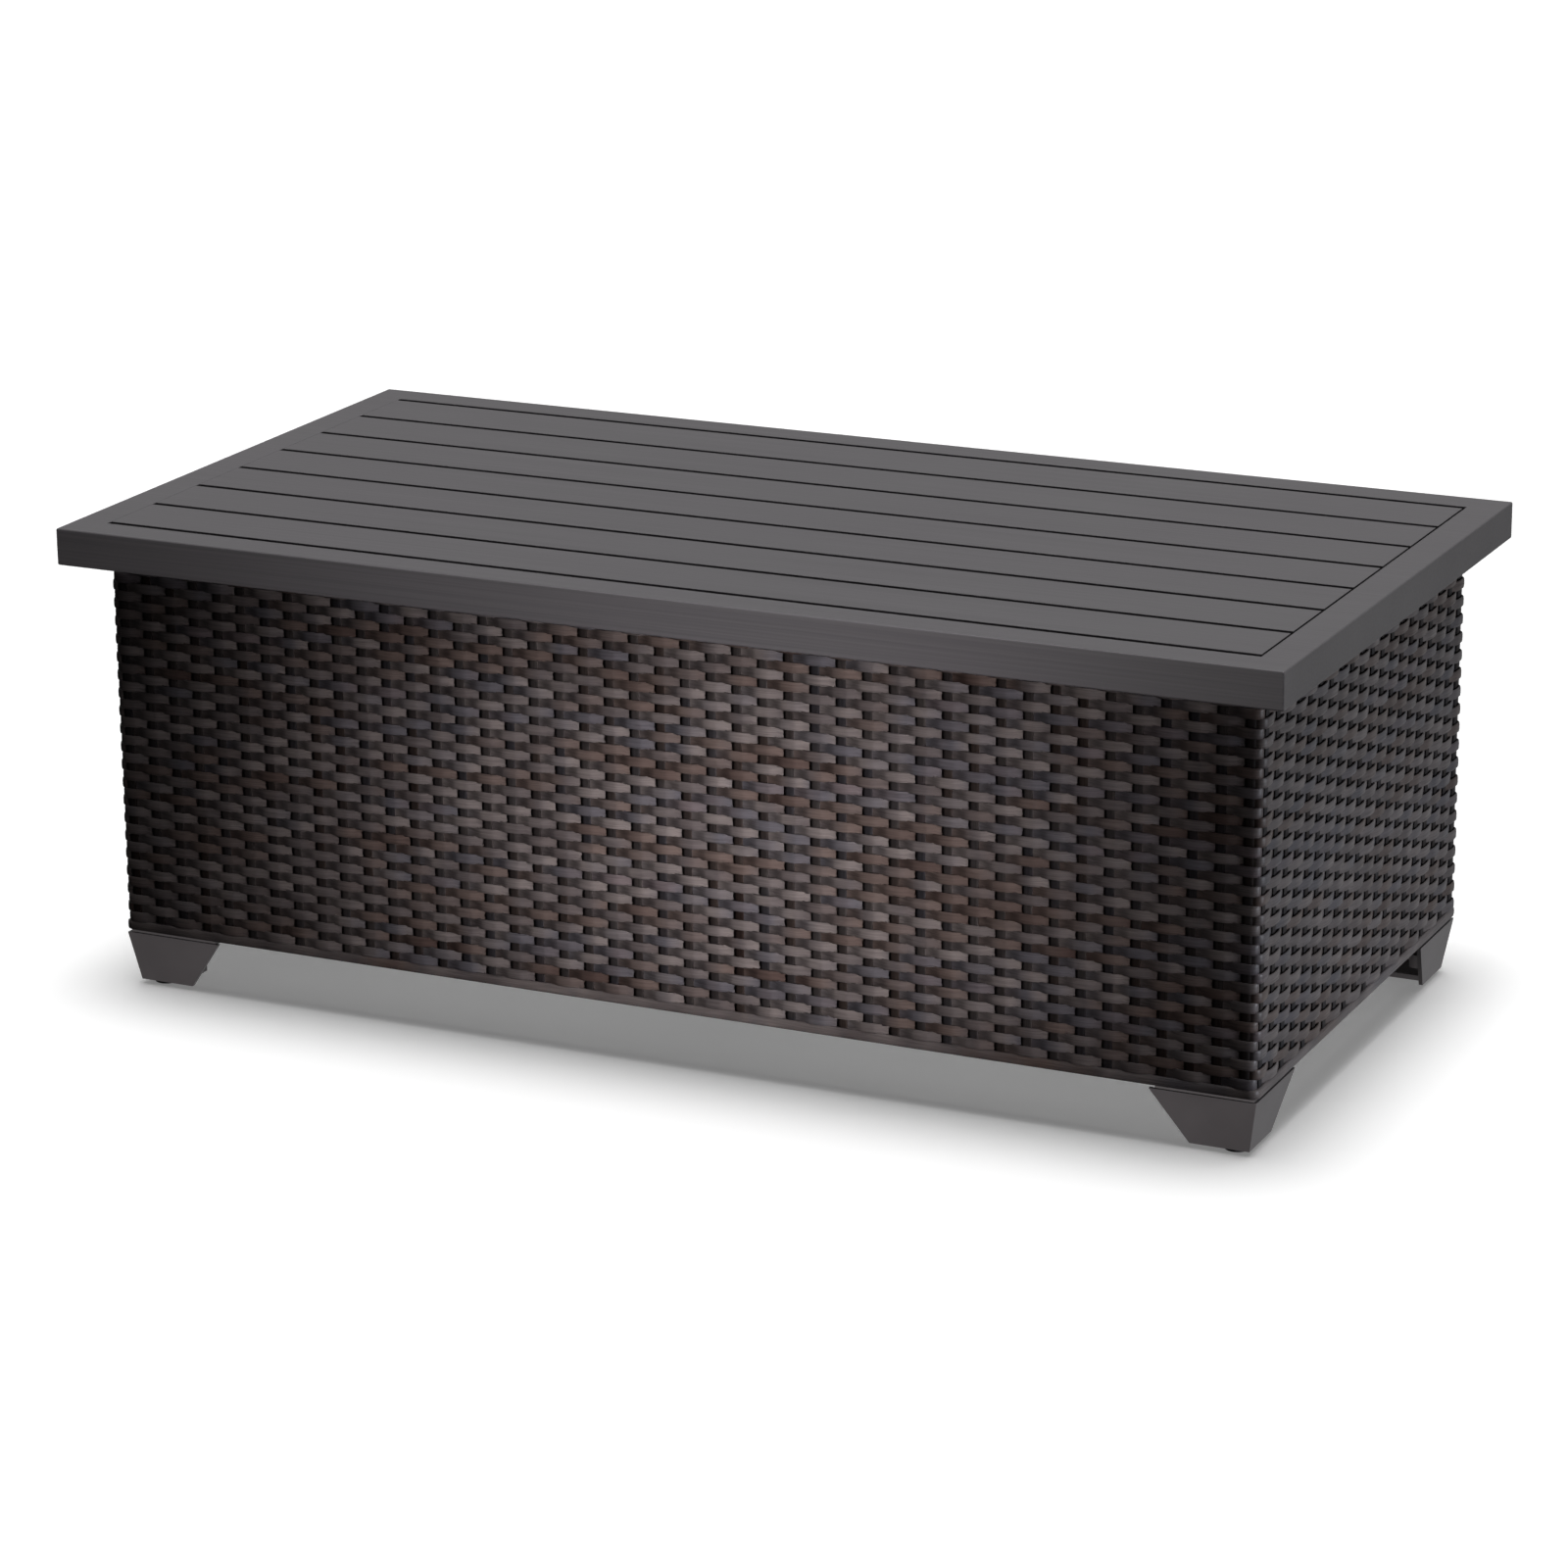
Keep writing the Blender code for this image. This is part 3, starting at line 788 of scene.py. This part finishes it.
FRONT_BEAM = Softbox(
    "front_beam", place=(2.95, -1.7, 0.55), target=(0.06, -0.28, 0.23), size=(0.15, 0.45),
    watts=1.9, colour=(1.0, 0.97, 0.98), spread=8.8, glossy=False, lights="weave",
)
RIGHT_BEAM = Softbox(
    "right_beam", place=(2.5, -0.3, 0.2), target=(0.6, 0.0, 0.0), size=(0.5, 0.3),
    watts=3.0, colour=(0.87, 0.91, 1.0), spread=50.0, glossy=True, lights="weave",
)
FRONT_FILL = Softbox(
    "front_fill", place=(-0.1, -3.2, 0.25), target=(-0.1, -0.3, 0.25), size=(2.4, 0.3),
    watts=21.0, colour=(1.0, 0.97, 0.97), spread=180.0, glossy=True, lights="metal",
)
RIGHT_FILL = Softbox(
    "right_fill", place=(2.5, 0.0, 0.2), target=(0.6, 0.0, 0.2), size=(0.5, 0.3),
    watts=9.0, colour=(0.95, 0.97, 1.0), spread=180.0, glossy=True, lights="metal",
)
SOFTBOXES = (
    FRONT_BEAM,
    FRONT_BEAM._replace(
        name="edge_beam", target=(0.02, -0.28, 0.4), watts=0.64, spread=9.0, lights="rim and feet"
    ),
    RIGHT_BEAM,
    FRONT_FILL,
    RIGHT_FILL,
    FRONT_FILL._replace(name="front_foot_fill", lights="feet"),
    RIGHT_FILL._replace(name="right_foot_fill", watts=7.0, lights="feet"),
)

FLOOR_HALF_WIDTH = 100.0  # so far out that its edge lies near the horizon
FLOOR_GLOW = 0.2


def add_floor():
    bm = bmesh.new()
    bmesh.ops.create_grid(bm, x_segments=4, y_segments=4, size=FLOOR_HALF_WIDTH)
    floor = bpy.data.objects.new("studio_floor", mesh_from_bmesh(bm, "studio_floor"))
    ground = plain_ground("studio_floor", colour=(0.95, 0.95, 0.95), glow=FLOOR_GLOW)
    floor.data.materials.append(ground)
    floor.visible_diffuse = False
    floor.visible_glossy = False
    bpy.context.scene.collection.objects.link(floor)
    return floor


def add_sky():
    """A dome of light: even all round, bright high overhead, and brighter behind the table.
    The camera sees plain white in its place."""
    world = bpy.data.worlds.new("studio")
    world.use_nodes = True
    nodes, links = world.node_tree.nodes, world.node_tree.links
    place = nodes.new("ShaderNodeTexCoord")
    split = nodes.new("ShaderNodeSeparateXYZ")
    links.new(place.outputs["Generated"], split.inputs[0])
    total = nodes.new("ShaderNodeMath")
    overhead = ("Z", OVERHEAD_FOCUS, SKY_OVERHEAD)
    behind = ("Y", 1.0, SKY_BEHIND)
    for slot, (axis, power, strength) in enumerate((overhead, behind)):
        facing = nodes.new("ShaderNodeMath")
        facing.operation = "MAXIMUM"
        facing.inputs[1].default_value = 0.0
        links.new(split.outputs[axis], facing.inputs[0])
        gathered = nodes.new("ShaderNodeMath")
        gathered.operation = "POWER"
        gathered.inputs[1].default_value = power
        links.new(facing.outputs[0], gathered.inputs[0])
        scaled = nodes.new("ShaderNodeMath")
        scaled.operation = "MULTIPLY_ADD"
        scaled.inputs[1].default_value = strength
        scaled.inputs[2].default_value = SKY_EVEN / 2
        links.new(gathered.outputs[0], scaled.inputs[0])
        links.new(scaled.outputs[0], total.inputs[slot])
    seen = nodes.new("ShaderNodeLightPath").outputs["Is Camera Ray"]
    shown = nodes.new("ShaderNodeMix")
    links.new(seen, shown.inputs["Factor"])
    links.new(total.outputs[0], shown.inputs["A"])
    shown.inputs["B"].default_value = 1.0
    links.new(shown.outputs["Result"], nodes["Background"].inputs["Strength"])
    nodes["Background"].inputs["Color"].default_value = (1.0, 1.0, 1.0, 1.0)
    bpy.context.scene.world = world


def add_softbox(box):
    light = bpy.data.lights.new(box.name, "AREA")
    light.shape = "RECTANGLE"
    light.size, light.size_y = box.size
    light.energy = box.watts
    light.color = box.colour
    light.spread = math.radians(box.spread)
    lamp = bpy.data.objects.new(box.name, light)
    lamp.location = box.place
    ray = Vector(box.target) - Vector(box.place)
    lamp.rotation_euler = ray.to_track_quat("-Z", "Y").to_euler()
    lamp.visible_camera = False
    lamp.visible_glossy = box.glossy
    bpy.context.scene.collection.objects.link(lamp)
    return lamp


def link_light(lamp, pieces, state):
    """INCLUDE: the lamp lights only these pieces. EXCLUDE: it lights all but these."""
    linked = bpy.data.collections.new(lamp.name + "_linked")
    for piece in pieces:
        linked.objects.link(piece)
    lamp.light_linking.receiver_collection = linked
    for entry in linked.collection_objects:
        entry.light_linking.link_state = state


def add_camera():
    azimuth, elevation, roll = map(
        math.radians, (CAMERA_AZIMUTH, CAMERA_ELEVATION, CAMERA_ROLL)
    )
    back = Vector(
        (
            math.sin(azimuth) * math.cos(elevation),
            -math.cos(azimuth) * math.cos(elevation),
            math.sin(elevation),
        )
    )
    level = Vector((0, 0, 1)).cross(back).normalized()
    upright = back.cross(level)
    right = level * math.cos(roll) + upright * math.sin(roll)
    up = back.cross(right)
    data = bpy.data.cameras.new("camera")
    data.sensor_width = 36.0
    data.lens = CAMERA_LENS
    camera = bpy.data.objects.new("camera", data)
    camera.matrix_world = Matrix.Translation(
        Vector(CAMERA_TARGET) + back * CAMERA_DISTANCE
    ) @ Matrix((right, up, back)).transposed().to_4x4()
    bpy.context.scene.collection.objects.link(camera)
    bpy.context.scene.camera = camera


# ---------------------------------------------------------------- scene


def joined_box(nodes):
    lows, highs = zip(*(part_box(node) for node in nodes))
    return Vector(map(min, *lows)), Vector(map(max, *highs))


def finish_nodes(finishes):
    """Each CAD node takes the finish of the first group with a prefix that its name has."""
    for name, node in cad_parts.items():
        finish = next(finishes[group] for group in finishes if name.startswith(group))
        for slot in node.material_slots:
            slot.material = finish


def main():
    add_camera()
    top_coat = powder_coat(
        "top_powder_coat", colour=(0.080, 0.075, 0.080), roughness=0.48, stretch=(2.0, 420.0, 420.0)
    )
    frame_coat = powder_coat(
        "frame_powder_coat", colour=(0.045, 0.038, 0.036), roughness=0.5, stretch=(60.0, 60.0, 60.0)
    )
    # The feet's coat is the top's powder coat made about half as light again: painted light that
    # stands in for light bounced up off the floor.
    foot_coat_painted_light = powder_coat(
        "foot_powder_coat", colour=(0.125, 0.116, 0.119), roughness=0.46, stretch=(12.0, 12.0, 12.0)
    )
    wefts = resin("resin_wefts", STRAND_TONES, brightness=0.63, roughness=0.48, specular=0.4)
    # The stakes' resin is the wefts' resin made about four times darker: painted shade for the
    # shadowed windows where the stakes show between the wefts.
    stakes = resin("resin_stakes_painted_shade", STRAND_TONES, brightness=0.15, roughness=0.7, specular=0.2)
    steel = zinc_steel("zinc_steel")
    black = nylon("black_nylon")

    finish_nodes(
        {
            ("base_", "post_", "stile_", "cross_bar_"): frame_coat,
            ("foot_screw_", "glide_stud_", "top_bolt_"): steel,
            ("glide_pad_",): black,
            ("foot_",): foot_coat_painted_light,
            ("",): top_coat,
        }
    )
    rim, slats = build_top(top_coat)
    feet = build_feet(foot_coat_painted_light, black, steel)
    box_low, box_high = joined_box(("weave_front", "weave_back", "weave_left", "weave_right"))
    weave_sides(box_low, box_high, wefts, stakes)

    floor = add_floor()
    add_sky()
    lighting = {
        "weave": ([floor, rim, *slats, *feet], "EXCLUDE"),
        "rim and feet": ([rim, *feet], "INCLUDE"),
        "metal": ([rim, *slats, *feet], "INCLUDE"),
        "feet": (feet, "INCLUDE"),
    }
    for box in SOFTBOXES:
        link_light(add_softbox(box), *lighting[box.lights])
    bpy.context.scene.view_settings.view_transform = "Standard"


main()
